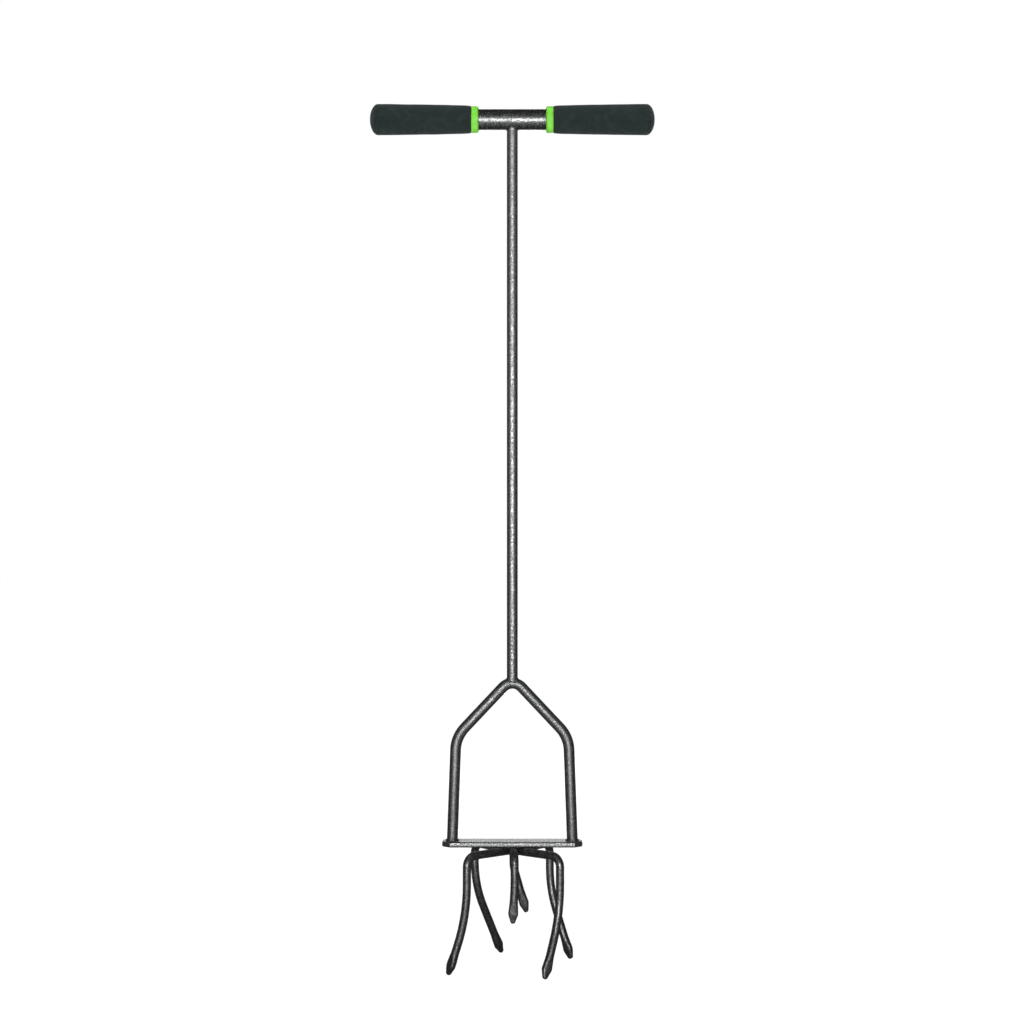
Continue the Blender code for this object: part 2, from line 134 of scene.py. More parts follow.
def smooth_step(value: float) -> float:
    """Ease from 0 to 1."""
    value = min(max(value, 0.0), 1.0)
    return value * value * (3.0 - 2.0 * value)


def bulge(aside: float, radius: float) -> float:
    """How far a round bar's side stands out, at a distance aside from its middle line."""
    return math.sqrt(radius**2 - min(abs(aside), radius * SEAT_SHARE) ** 2)


class Term:
    """A number that varies over a surface, whose arithmetic adds Math nodes to its graph."""

    def __init__(self, graph: "Graph", socket: NodeSocket) -> None:
        """Wrap the output of a node of the graph."""
        self.graph = graph
        self.socket = socket

    def __add__(self, other: "Term | float") -> "Term":
        """Add."""
        return self.graph.maths("ADD", self, other)

    __radd__ = __add__

    def __sub__(self, other: "Term | float") -> "Term":
        """Take away."""
        return self.graph.maths("SUBTRACT", self, other)

    def __rsub__(self, other: "Term | float") -> "Term":
        """Take this away from a number."""
        return self.graph.maths("SUBTRACT", other, self)

    def __mul__(self, other: "Term | float") -> "Term":
        """Multiply."""
        return self.graph.maths("MULTIPLY", self, other)

    __rmul__ = __mul__

    def rise(self, low: float, high: float) -> "Term":
        """Ease from 0 where this is low to 1 where it is high."""
        sockets = {"Value": self, "From Min": low, "From Max": high}
        return self.graph.term("ShaderNodeMapRange", {"interpolation_type": "SMOOTHSTEP"}, sockets)


class Graph:
    """The node tree of one finish."""

    def __init__(self, name: str) -> None:
        """Start an empty material.

        Args:
            name: the material's name.
        """
        self.material = bpy.data.materials.new(name)
        self.material.use_nodes = True
        self.tree = self.material.node_tree
        self.tree.nodes.clear()
        self.place = self.node("ShaderNodeTexCoord").outputs["Object"]

    def node(self, kind: str, settings: Values | None = None, sockets: Values | None = None) -> Node:
        """Add a node.

        Args:
            kind: the node's type.
            settings: its properties, which are set first.
            sockets: the values or links of its inputs, by name or place.

        Returns:
            The node.
        """
        made = self.tree.nodes.new(kind)
        for name, value in (settings or {}).items():
            setattr(made, name, value)
        for name, value in (sockets or {}).items():
            value = value.socket if isinstance(value, Term) else value
            if isinstance(value, NodeSocket):
                self.tree.links.new(value, made.inputs[name])
            else:
                made.inputs[name].default_value = value
        return made

    def term(self, kind: str, settings: Values | None, sockets: Values) -> Term:
        """Add a node that gives a number."""
        return Term(self, self.node(kind, settings, sockets).outputs[0])

    def maths(self, operation: str, first: Term | float, second: Term | float) -> Term:
        """Combine two numbers in a Math node."""
        return self.term("ShaderNodeMath", {"operation": operation}, {0: first, 1: second})

    def noise(self, size: float, detail: float = 2.0) -> Term:
        """A soft random pattern from 0 to 1, with its spots about a size apart."""
        sockets = {"Vector": self.place, "Scale": 1.0 / size, "Detail": detail, "Roughness": NOISE_FADE}
        return self.term("ShaderNodeTexNoise", None, sockets)

    def cells(self, size: float) -> Term:
        """A mosaic of flat cells of about a size, each with a random number from 0 to 1."""
        mosaic = self.node("ShaderNodeTexVoronoi", None, {"Vector": self.place, "Scale": 1.0 / size})
        return self.term("ShaderNodeSeparateColor", None, {"Color": mosaic.outputs["Color"]})

    def blend(self, first: Tint, second: Tint, share: Term) -> NodeSocket:
        """Go from a first colour, where the share is 0, to a second, where it is 1."""
        sockets = {MIX_FACTOR: share, MIX_FIRST: first, MIX_SECOND: second}
        return self.node("ShaderNodeMix", {"data_type": "RGBA"}, sockets).outputs[MIX_RESULT]

    def bump(self, height: Term, depth: float) -> NodeSocket:
        """Turn a height pattern into a normal, with a full step of it standing depth proud."""
        return self.node("ShaderNodeBump", None, {"Height": height, "Distance": depth}).outputs[0]

    def surface(self, **sockets: Any) -> Material:
        """End the graph in one Principled shader.

        Args:
            sockets: the shader's inputs, with an underscore for each space.

        Returns:
            The finished material.
        """
        named = {name.replace("_", " "): value for name, value in sockets.items()}
        shader = self.node("ShaderNodeBsdfPrincipled", None, named)
        self.node("ShaderNodeOutputMaterial", None, {"Surface": shader.outputs[0]})
        return self.material


@dataclass(frozen=True)
class CoatedSteel:
    """Dark grey powder coat: smoother silver grains in a rougher ground, with fine flecks."""

    name: str
    ground: Colour = (0.185, 0.188, 0.192, 1.0)
    grain: Colour = (0.345, 0.350, 0.355, 1.0)
    fleck: Colour = (0.580, 0.590, 0.600, 1.0)
    grain_size: float = 0.0017
    grain_share: float = 0.52
    grain_softness: float = 0.14
    fleck_size: float = 0.0008
    fleck_start: float = 0.78
    skin_size: float = 0.0017
    skin_depth: float = 0.00004
    metal: float = 0.98
    ground_roughness: float = 0.56
    grain_roughness: float = 0.42

    def make(self) -> Material:
        """Build the finish.

        Returns:
            The material.
        """
        graph = Graph(self.name)
        low, high = self.grain_share - self.grain_softness, self.grain_share + self.grain_softness
        grains = graph.noise(self.grain_size).rise(low, high)
        flecks = graph.cells(self.fleck_size).rise(self.fleck_start, 1.0)
        grainy = graph.blend(self.ground, self.grain, grains)
        return graph.surface(
            Base_Color=graph.blend(grainy, self.fleck, flecks),
            Metallic=self.metal,
            Roughness=self.ground_roughness - grains * (self.ground_roughness - self.grain_roughness),
            Normal=graph.bump(graph.noise(self.skin_size), self.skin_depth),
        )


# For the shaft and the welds, apart from the one at its top
SHAFT_COAT = CoatedSteel("flecked_powder_coat")

# The shaft's powder coat again, with both colours painted darker: painted shade on the tube and on the
# weld at the shaft's top, besides its smoother finish
TUBE_COAT_PAINTED_DARKER = CoatedSteel(
    "tube_powder_coat_painted_shade",
    ground=(0.100, 0.102, 0.104, 1.0),
    grain=(0.235, 0.239, 0.243, 1.0),
    grain_size=0.0014,
    grain_softness=0.07,
    skin_size=0.0014,
    metal=0.99,
    ground_roughness=0.54,
    grain_roughness=0.32,
)

YOKE_COAT = CoatedSteel(
    "yoke_powder_coat",
    ground=(0.195, 0.198, 0.202, 1.0),
    grain=(0.325, 0.330, 0.335, 1.0),
    fleck=(0.530, 0.540, 0.550, 1.0),
    grain_size=0.0014,
    skin_depth=0.00002,
    ground_roughness=0.53,
    grain_roughness=0.44,
)

# The same powder coat, with its grains painted far brighter: a painted highlight on the foot plate's
# faces
PLATE_COAT_PAINTED_BRIGHTER = CoatedSteel(
    "plate_powder_coat_painted_highlight",
    ground=(0.200, 0.204, 0.208, 1.0),
    grain=(0.660, 0.665, 0.670, 1.0),
    grain_size=0.0016,
    grain_softness=0.06,
    skin_size=0.0013,
    ground_roughness=0.52,
    grain_roughness=0.31,
)

# The same powder coat, with a darker ground and brighter grains: painted shade at the tines' sides and a
# painted highlight along them
TINE_COAT_PAINTED_LIGHT_AND_SHADE = CoatedSteel(
    "tine_coat_painted_light_and_shade",
    ground=(0.170, 0.173, 0.176, 1.0),
    grain=(0.400, 0.405, 0.410, 1.0),
    ground_roughness=0.46,
    grain_roughness=0.33,
)


@dataclass(frozen=True)
class MouldedGreen:
    """Bright green moulded polymer with the faint grain of its mould."""

    name: str = "moulded_green"
    colour: Colour = (0.125, 0.430, 0.033, 1.0)
    shade: Colour = (0.110, 0.397, 0.029, 1.0)
    cloud_size: float = 0.0060
    shade_start: float = 0.45
    shade_full: float = 0.75
    grain_size: float = 0.0005
    grain_depth: float = 0.00002
    roughness_low: float = 0.49
    roughness_spread: float = 0.12
    shine: float = 0.30

    def make(self) -> Material:
        """Build the finish.

        Returns:
            The material.
        """
        graph = Graph(self.name)
        grain = graph.noise(self.grain_size)
        shaded = graph.noise(self.cloud_size).rise(self.shade_start, self.shade_full)
        return graph.surface(
            Base_Color=graph.blend(self.colour, self.shade, shaded),
            Roughness=self.roughness_low + grain * self.roughness_spread,
            Specular_IOR_Level=self.shine,
            Normal=graph.bump(grain, self.grain_depth),
        )


@dataclass(frozen=True)
class DarkFoam:
    """Closed-cell foam: matte, very dark green-grey, full of fine pores."""

    name: str = "dark_foam_skin"
    colour: Colour = (0.0088, 0.0147, 0.0138, 1.0)
    worn: Colour = (0.0130, 0.0205, 0.0192, 1.0)
    pore: Colour = (0.0032, 0.0052, 0.0048, 1.0)
    cloud_size: float = 0.0090
    worn_start: float = 0.45
    worn_full: float = 0.75
    skin_size: float = 0.0018
    skin_detail: float = 3.0
    pore_size: float = 0.0006
    pore_start: float = 0.75
    pore_strength: float = 0.6
    pore_depth: float = 0.00010
    roughness_low: float = 0.805
    roughness_spread: float = 0.15
    shine: float = 0.12
    sheen: float = 0.06
    sheen_roughness: float = 0.6

    def make(self) -> Material:
        """Build the finish.

        Returns:
            The material.
        """
        graph = Graph(self.name)
        pits = graph.cells(self.pore_size).rise(self.pore_start, 1.0) * self.pore_strength
        skin = graph.noise(self.skin_size, self.skin_detail)
        wear = graph.noise(self.cloud_size).rise(self.worn_start, self.worn_full)
        tone = graph.blend(self.colour, self.worn, wear)
        return graph.surface(
            Base_Color=graph.blend(tone, self.pore, pits),
            Roughness=self.roughness_low + skin * self.roughness_spread,
            Specular_IOR_Level=self.shine,
            Sheen_Weight=self.sheen,
            Sheen_Roughness=self.sheen_roughness,
            Normal=graph.bump(skin - pits, self.pore_depth),
        )


@dataclass(frozen=True)
class PaleStage:
    """The plain white of the floor and the surroundings, which glows and takes no shade."""

    name: str
    paint: Colour = (0.0, 0.0, 0.0, 1.0)
    glow: Colour = (1.0, 1.0, 1.0, 1.0)
    glow_strength: float = 1.0
    roughness: float = 0.9

    def make(self) -> Material:
        """Build the finish.

        Returns:
            The material.
        """
        return Graph(self.name).surface(
            Base_Color=self.paint,
            Roughness=self.roughness,
            Emission_Color=self.glow,
            Emission_Strength=self.glow_strength,
        )


class Shape:
    """A mesh in the making, and the object that it becomes."""

    def __init__(self) -> None:
        """Start with nothing."""
        self.bm = bmesh.new()

    def cut(self, point: Vector, outward: Vector) -> None:
        """Cut everything off on one side of a plane and close the cut.

        Args:
            point: a point on the plane.
            outward: the direction of the side that goes.
        """
        made = bmesh.ops.bisect_plane(
            self.bm,
            geom=self.bm.verts[:] + self.bm.edges[:] + self.bm.faces[:],
            dist=MERGE_DISTANCE,
            plane_co=point,
            plane_no=outward,
            clear_outer=True,
        )
        rim = [item for item in made["geom_cut"] if isinstance(item, BMEdge)]
        bmesh.ops.holes_fill(self.bm, edges=rim, sides=0)

    def bevel(self, edges: list[BMEdge], offset: float, segments: int) -> None:
        """Cut or round edges off.

        Args:
            edges: the edges.
            offset: how far from each edge the cut starts.
            segments: how many faces it has, with 1 for a flat cut.
        """
        bmesh.ops.bevel(
            self.bm,
            geom=edges,
            offset=offset,
            segments=segments,
            profile=0.5,
            affect="EDGES",
            material=-1,
        )

    def spin(self, parts: Parts, centre: Vector, axis: Vector, degrees: float, steps: int) -> Parts:
        """Sweep parts of the shape round an axis.

        Args:
            parts: the points and edges that are swept.
            centre: a point on the axis.
            axis: the axis's direction.
            degrees: how far they go, where a full turn ends on its start.
            steps: how many short lines stand for the way.

        Returns:
            The points and edges at the end of the way.
        """
        made = bmesh.ops.spin(
            self.bm,
            geom=parts,
            cent=centre,
            axis=axis,
            dvec=(0.0, 0.0, 0.0),
            angle=math.radians(degrees),
            steps=steps,
            use_merge=degrees == FULL_TURN,
            use_duplicate=False,
        )
        return made["geom_last"]

    def revolve(self, sides: int = TURNED_SIDES) -> None:
        """Turn the whole shape once round the Z axis."""
        self.spin(self.bm.verts[:] + self.bm.edges[:], Vector(), UP, FULL_TURN, sides)

    def shift(self, move: Callable[[Vector], Vector]) -> None:
        """Move each point to where a function of its place says."""
        for vertex in self.bm.verts:
            vertex.co = move(vertex.co)

    def put(self, place: Matrix) -> None:
        """Move the whole shape by a matrix."""
        bmesh.ops.transform(self.bm, matrix=place, verts=self.bm.verts)

    def show(self, name: str, finish: Material) -> Object:
        """Put the shape in the scene.

        Args:
            name: the object's name.
            finish: its material.

        Returns:
            The object.
        """
        mesh = bpy.data.meshes.new(name)
        self.bm.to_mesh(mesh)
        self.bm.free()
        mesh.materials.append(finish)
        thing = bpy.data.objects.new(name, mesh)
        bpy.context.scene.collection.objects.link(thing)
        return thing

    def become(self, name: str, finish: Material, node: str, slot: Slot = Slot.STEEL) -> Object:
        """Turn the shape into a piece of the tool.

        Args:
            name: the piece's name.
            finish: its material.
            node: the frame's node that the piece stands for.
            slot: the record's slot that the material belongs to; not used.

        Returns:
            The piece.
        """
        bmesh.ops.remove_doubles(self.bm, verts=self.bm.verts, dist=MERGE_DISTANCE)
        bmesh.ops.recalc_face_normals(self.bm, faces=self.bm.faces)
        piece = self.show(name, finish)
        piece.data.shade_smooth()
        piece.data.set_sharp_from_angle(angle=math.radians(CRISP_DEGREES))
        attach(piece, BODY)
        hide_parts(node)
        log.info("%s: %d faces, for %s", name, len(piece.data.polygons), node)
        return piece


class Rod(Shape):
    """A round bar that grows ring by ring from its first end."""

    def __init__(self, start: Vector, direction: Vector, radius: float) -> None:
        """Make the first end.

        Args:
            start: the centre of the end.
            direction: where the bar goes from there.
            radius: the bar's radius.
        """
        super().__init__()
        self.place = start.copy()
        self.direction = direction.normalized()
        self.half_width = radius
        self.half_thickness = radius
        turn = self.direction.to_track_quat("Z", "Y").to_matrix().to_4x4()
        stand = Matrix.Translation(start) @ turn
        made = bmesh.ops.create_circle(self.bm, segments=BAR_SIDES, radius=radius, matrix=stand)
        self.ring = made["verts"]
        self.end()

    def rim(self) -> list[BMEdge]:
        """Find the newest ring's edges.

        Returns:
            The edges.
        """
        ring = set(self.ring)
        touching = [edge for vertex in self.ring for edge in vertex.link_edges]
        return list(dict.fromkeys(edge for edge in touching if ring.issuperset(edge.verts)))

    def run(self, length: float) -> None:
        """Go straight on.

        Args:
            length: how far.
        """
        made = bmesh.ops.extrude_edge_only(self.bm, edges=self.rim())
        self.ring = [item for item in made["geom"] if isinstance(item, BMVert)]
        bmesh.ops.translate(self.bm, verts=self.ring, vec=self.direction * length)
        self.place = self.place + self.direction * length

    def bend(self, toward: Vector, radius: float, degrees: float) -> None:
        """Turn along an arc.

        Args:
            toward: the side that the bar turns to, square to its direction.
            radius: the arc's radius at the bar's centre.
            degrees: how far it turns.
        """
        pivot = self.place + toward * radius
        axis = self.direction.cross(toward).normalized()
        steps = max(BEND_LEAST_STEPS, math.ceil(degrees / BEND_STEP_DEGREES))
        last = self.spin(self.ring + self.rim(), pivot, axis, degrees, steps)
        self.ring = [item for item in last if isinstance(item, BMVert)]
        turn = Matrix.Rotation(math.radians(degrees), 3, axis)
        self.place = pivot + turn @ (self.place - pivot)
        self.direction = turn @ self.direction

    def follow(self, corners: Sequence[Vector], radii: Sequence[float]) -> None:
        """Go on through the corners of a route, with a bend at each but the last.

        Args:
            corners: the corners, as if the bends had no radius.
            radii: the radius of each bend.
        """
        for corner, after, radius in zip(corners, corners[1:], radii):
            onward = (after - corner).normalized()
            turn = self.direction.angle(onward)
            self.run((corner - self.place).length - radius * math.tan(turn / 2))
            toward = (onward - self.direction * onward.dot(self.direction)).normalized()
            self.bend(toward, radius, math.degrees(turn))
        self.run((corners[-1] - self.place).length)

    def flatten(self, face: Vector, width: float, thickness: float, squareness: float) -> None:
        """Give the newest ring a flattened section with rounded corners.

        Args:
            face: the direction that the flat faces, square to the bar.
            width: the section's size along the flat.
            thickness: its size through the flat.
            squareness: 0 for an ellipse, and more for flatter faces.
        """
        edge = self.direction.cross(face)
        power = 2.0 + squareness
        for vertex in self.ring:
            offset = vertex.co - self.place
            angle = math.atan2(offset.dot(face) / self.half_thickness, offset.dot(edge) / self.half_width)
            across, through = math.cos(angle), math.sin(angle)
            reach = (abs(across) ** power + abs(through) ** power) ** (-1.0 / power) / 2
            vertex.co = self.place + edge * across * reach * width + face * through * reach * thickness
        self.half_width, self.half_thickness = width / 2, thickness / 2

    def end(self) -> None:
        """Close the newest ring."""
        bmesh.ops.edgeloop_fill(self.bm, edges=self.rim())


class Turning(Shape):
    """A profile of radius and height that is drawn point by point and then turned."""

    def __init__(self, radius: float, height: float) -> None:
        """Put the pen down.

        Args:
            radius: the first point's distance from the axis.
            height: its height along the axis.
        """
        super().__init__()
        self.first = self.bm.verts.new((radius, 0.0, height))
        self.pen = self.first

    def to(self, radius: float, height: float) -> Self:
        """Draw a straight line.

        Args:
            radius: the next point's distance from the axis.
            height: its height along the axis.

        Returns:
            The profile itself.
        """
        made = bmesh.ops.extrude_vert_indiv(self.bm, verts=[self.pen])
        self.pen = made["verts"][0]
        self.pen.co = (radius, 0.0, height)
        return self

    def round(self, pivot: tuple[float, float], degrees: float, steps: int, squash: float = 1.0) -> Self:
        """Draw an arc.

        Args:
            pivot: the arc's centre, as a radius and a height.
            degrees: how far it goes, with plus from the radius to the height.
            steps: how many short lines stand for it.
            squash: the arc's height as a share of a true circle's.

        Returns:
            The profile itself.
        """
        count = len(self.bm.verts)
        centre = Vector((pivot[0], 0.0, pivot[1]))
        self.pen = self.spin([self.pen], centre, Vector((0.0, -1.0, 0.0)), degrees, steps)[0]
        self.bm.verts.ensure_lookup_table()
        place = Matrix.Translation(-centre)
        bmesh.ops.scale(self.bm, verts=self.bm.verts[count:], vec=(1.0, 1.0, squash), space=place)
        return self

    def join(self) -> None:
        """Draw a line back to the first point."""
        self.bm.edges.new((self.pen, self.first))


@dataclass
class WeldBead:
    """A rippled bead of weld metal round the end of a bar."""

    bar_radius: float
    leg: float  # how far the bead reaches along the bar and along its seat
    seat: Callable[[Vector], float]  # gives the seat's height at a point
    away: float  # 1 for a bead on top of its seat, and -1 for one under it
    section_centre: float = 0.30  # of the leg, out from the corner
    section_radius: float = 0.62  # of the leg
    section_points: int = 16
    ripples: int = 22
    ripple_steps: int = 8
    ripple_depth: float = 0.10  # of the section's radius

    def shape(self) -> Shape:
        """Build the bead round the Z axis.

        Returns:
            The bead, resting on its seat.
        """
        bead = Shape()
        out = self.leg * self.section_centre
        middle = Vector((self.bar_radius + out, 0.0, out))
        stand = Matrix.Translation(middle) @ Matrix.Rotation(math.pi / 2, 4, "X")
        radius = self.leg * self.section_radius
        bmesh.ops.create_circle(bead.bm, segments=self.section_points, radius=radius, matrix=stand)
        bead.revolve(self.ripples * self.ripple_steps)
        bead.shift(lambda point: self._settle(point, middle))
        return bead

    def _settle(self, point: Vector, middle: Vector) -> Vector:
        """Ripple a point of the bead and set it on the seat.

        Args:
            point: its place on the plain ring.
            middle: the centre of the ring's section, on the XZ plane.

        Returns:
            Its new place.
        """
        around = math.atan2(point.y, point.x)
        centre = heading(math.degrees(around)) * middle.x + UP * middle.z
        offset = point - centre
        lag = offset.z / self.leg
        ripple = abs(math.sin(self.ripples * around / 2 + lag))
        placed = centre + offset * (1.0 - self.ripple_depth * (1.0 - ripple))
        return Vector((placed.x, placed.y, self.seat(placed) + self.away * placed.z))


@dataclass
class Handle:
    """The T handle's steel tube and the weld that holds the shaft under it."""

    steel: Material
    wall: float = 0.0020
    rim_round: float = 0.0004
    rim_segments: int = 2
    shaft_diameter: float = BAR_DIAMETER
    weld_leg: float = 0.0009

    def __post_init__(self) -> None:
        """Read the tube's size and height from the frame."""
        low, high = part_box("crossbar_tube")
        self.radius = (high.y - low.y) / 2
        self.half_length = (high.x - low.x) / 2
        self.centre_z = (high.z + low.z) / 2

    def underside(self, point: Vector) -> float:
        """The height of the tube's underside above or below a point."""
        return self.centre_z - bulge(point.y, self.radius)

    def build(self) -> None:
        """Make the tube and its weld."""
        inner = self.radius - self.wall
        tube = Turning(self.radius, -self.half_length).to(self.radius, self.half_length)
        tube.to(inner, self.half_length).to(inner, -self.half_length).join()
        tube.revolve()
        tube.put(Matrix.Translation(UP * self.centre_z) @ Matrix.Rotation(math.pi / 2, 4, "Y"))
        crisp = math.radians(CRISP_DEGREES)
        rims = [edge for edge in tube.bm.edges if edge.calc_face_angle(0.0) > crisp]
        tube.bevel(rims, self.rim_round, self.rim_segments)
        tube.become("handle_tube", self.steel, "crossbar_tube")
        bead = WeldBead(self.shaft_diameter / 2, self.weld_leg, self.underside, away=-1.0)
        bead.shape().become("shaft_top_weld", self.steel, "crossbar_weld")


@dataclass
class Grip:
    """One end of the handle: a green core with its collar, and the foam cover."""

    side: Side
    tube_radius: float
    centre_z: float
    green: Material
    foam: Material
    collar_width: float = 0.0079
    collar_diameter: float = 0.0292
    collar_round: float = 0.0018
    collar_steps: int = 8
    collar_face_round: float = 0.0006
    core_wall: float = 0.0014
    core_end_wall: float = 0.0020
    cover_inner_diameter: float = 0.0300
    cover_outer_diameter: float = 0.0343
    cover_dome: float = 0.0092
    cover_dome_steps: int = 20
    cover_edge_round: float = 0.0012
    cover_end_wall: float = 0.0050
    edge_steps: int = 6
    barrel_rings: int = 40
    dent_size: float = 0.016
    dent_depth: float = 0.00016
    dent_share: float = 0.5  # of the depth, where the waves are half way
    dent_offset: float = 7.0  # keeps the waves of the two covers apart

    def __post_init__(self) -> None:
        """Read where the cover lies from the frame, and work out what fits in it."""
        low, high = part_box(f"grip_cover_{self.side.word}")
        start = Vector((self.side.value * min(abs(low.x), abs(high.x)), 0.0, self.centre_z))
        outwards = Matrix.Rotation(self.side.value * math.pi / 2, 4, "Y")
        self.stand = Matrix.Translation(start) @ outwards
        self.cover_length = high.x - low.x
        self.core_depth = self.cover_length - self.cover_end_wall - FIT
        self.tube_depth = self.core_depth - self.core_end_wall - FIT
        self.bore = self.tube_radius + FIT
        self.sleeve = self.bore + self.core_wall

    def core(self) -> Shape:
        """Build the core: a blind sleeve with a round-backed collar.

        Returns:
            The core in its place.
        """
        edge = self.collar_diameter / 2
        face, back = self.collar_face_round, self.collar_round
        back_z = back - self.collar_width
        turning = Turning(0.0, self.core_depth).to(self.sleeve, self.core_depth).to(self.sleeve, -FIT)
        turning.to(edge - face, -FIT).round((edge - face, -FIT - face), -QUARTER_TURN, self.edge_steps)
        turning.to(edge, back_z).round((edge - back, back_z), -QUARTER_TURN, self.collar_steps)
        turning.to(self.bore, -self.collar_width).to(self.bore, self.tube_depth + FIT)
        turning.to(0.0, self.tube_depth + FIT).revolve()
        turning.put(self.stand)
        return turning

    def cover(self) -> Shape:
        """Build the foam cover: a swelling sleeve with a domed end.

        Returns:
            The cover in its place.
        """
        small, large = self.cover_inner_diameter / 2, self.cover_outer_diameter / 2
        barrel = self.cover_length - self.cover_dome
        edge = self.cover_edge_round
        turning = Turning(large, barrel)
        turning.round((0.0, barrel), QUARTER_TURN, self.cover_dome_steps, squash=self.cover_dome / large)
        turning.pen = turning.first
        for ring in range(self.barrel_rings - 1, 0, -1):
            share = ring / self.barrel_rings
            radius = small + (large - small) * math.sqrt(share)
            turning.to(radius, edge + (barrel - edge) * share)
        turning.to(small, edge).round((small - edge, edge), -QUARTER_TURN, self.edge_steps)
        turning.to(self.sleeve + FIT, 0.0).to(self.sleeve + FIT, self.core_depth + FIT)
        turning.to(0.0, self.core_depth + FIT).revolve()
        skin = small - edge
        turning.shift(lambda point: self._dent(point, skin))
        turning.put(self.stand)
        return turning

    def _dent(self, point: Vector, skin: float) -> Vector:
        """Give the cover's outside the slight waves of real foam.

        Args:
            point: a point of the turned cover.
            skin: points nearer the axis than this stay where they are.

        Returns:
            The point's new place.
        """
        outward = Vector((point.x, point.y, 0.0))
        if outward.length < skin:
            return point
        offset = Vector((self.side.value * self.dent_offset, 0.0, 0.0))
        dent = self.dent_depth * (self.dent_share + noise.noise(point / self.dent_size + offset))
        return point - outward.normalized() * dent

    def build(self) -> None:
        """Make the core and the cover."""
        word = self.side.word
        self.core().become(f"{word}_green_core", self.green, f"grip_core_{word}", Slot.GREEN)
        self.cover().become(f"{word}_foam_grip", self.foam, f"grip_cover_{word}", Slot.FOAM)


@dataclass
class Yoke:
    """The pointed arch of round bar between the shaft and the foot plate."""

    steel: Material
    plate_top_z: float
    diameter: float = BAR_DIAMETER
    foot_half_span: float = 0.0663
    shoulder_half_span: float = 0.0622
    leg_height: float = 0.1142
    roof_height: float = 0.0660
    shoulder_bend: float = 0.0380
    apex_bend: float = 0.0144

    def __post_init__(self) -> None:
        """Work out the heights of the arch."""
        self.corner_z = self.plate_top_z + self.leg_height + self.roof_height
        roof_angle = math.atan2(self.shoulder_half_span, self.roof_height)
        self.bend_centre_z = self.corner_z - self.apex_bend / math.sin(roof_angle)
        self.apex_z = self.bend_centre_z + self.apex_bend

    def top(self, point: Vector) -> float:
        """The height of the apex's upper side above or below a point near it."""
        outer_bend = self.apex_bend + bulge(point.y, self.diameter / 2)
        return self.bend_centre_z + math.sqrt(outer_bend**2 - point.x**2)

    def build(self) -> None:
        """Make the arch, with its feet cut flat on the plate."""
        foot = Vector((self.foot_half_span, 0.0, self.plate_top_z))
        shoulder = Vector((self.shoulder_half_span, 0.0, self.plate_top_z + self.leg_height))
        upward = (shoulder - foot).normalized()
        start = foot - upward * self.diameter / 2
        apex = UP * self.corner_z
        mirror = Vector((-1.0, 1.0, 1.0))
        bar = Rod(start * mirror, upward * mirror, self.diameter / 2)
        corners = [shoulder * mirror, apex, shoulder, start]
        bar.follow(corners, [self.shoulder_bend, self.apex_bend, self.shoulder_bend])
        bar.end()
        bar.cut(UP * (self.plate_top_z + FIT), DOWN)
        bar.become("forked_yoke", self.steel, "yoke_frame")


@dataclass
class Shaft:
    """The long upright bar, coped to the handle's tube and to the yoke."""

    steel: Material
    handle: Handle
    yoke: Yoke
    diameter: float = BAR_DIAMETER
    apex_weld_leg: float = 0.0011

    def build(self) -> None:
        """Make the bar and the weld at its foot."""
        radius = self.diameter / 2
        bottom, top = self.yoke.apex_z, self.handle.centre_z
        middle = (bottom + top) / 2

        def cope(point: Vector) -> Vector:
            """Set a point of either end on what the end stands on."""
            foot, head = self.yoke.top(point) + FIT, self.handle.underside(point) - FIT
            return Vector((point.x, point.y, head if point.z > middle else foot))

        bar = Rod(UP * bottom, UP, radius)
        bar.run(top - bottom)
        bar.end()
        bar.shift(cope)
        bar.become("long_shaft", self.steel, "shaft_rod")
        bead = WeldBead(radius, self.apex_weld_leg, self.yoke.top, away=1.0)
        bead.shape().become("shaft_foot_weld", self.steel, "apex_weld")


@dataclass
class FootPlate:
    """The flat bar that the foot presses on, and the welds of the yoke's feet."""

    steel: Material
    weld_steel: Material
    corner_cut: float = 0.0085
    edge_round: float = 0.0018
    edge_segments: int = 5
    foot_weld_leg: float = 0.0018

    def __post_init__(self) -> None:
        """Read the plate's size and place from the frame."""
        self.low, self.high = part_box("foot_plate")
        self.bottom_z, self.top_z = self.low.z, self.high.z

    def seat(self, _point: Vector) -> float:
        """The height of the flat that the foot welds lie on."""
        return self.top_z

    def build(self, yoke: Yoke) -> None:
        """Make the plate and its two welds.

        Args:
            yoke: the arch whose feet stand on the plate.
        """
        plate = Shape()
        size = self.high - self.low
        place = Matrix.Translation((self.high + self.low) / 2) @ Matrix.Diagonal((*size, 1.0))
        bmesh.ops.create_cube(plate.bm, size=1.0, matrix=place)

        def climb(edge: BMEdge) -> float:
            """How far an edge climbs."""
            return abs(edge.verts[0].co.z - edge.verts[1].co.z)

        corners = [edge for edge in plate.bm.edges if climb(edge) > size.z / 2]
        plate.bevel(corners, self.corner_cut, segments=1)
        rims = [edge for edge in plate.bm.edges if climb(edge) < size.z / 2]
        plate.bevel(rims, self.edge_round, self.edge_segments)
        piece = plate.become("foot_bar", self.steel, "foot_plate")
        shading = piece.modifiers.new("flat_faces", "WEIGHTED_NORMAL")
        shading.keep_sharp = True
        for side in Side:
            bead = WeldBead(yoke.diameter / 2, self.foot_weld_leg, self.seat, away=1.0).shape()
            bead.put(Matrix.Translation((side.value * yoke.foot_half_span, 0.0, 0.0)))
            bead.become(f"{side.word}_foot_weld", self.weld_steel, f"foot_weld_{side.word}")


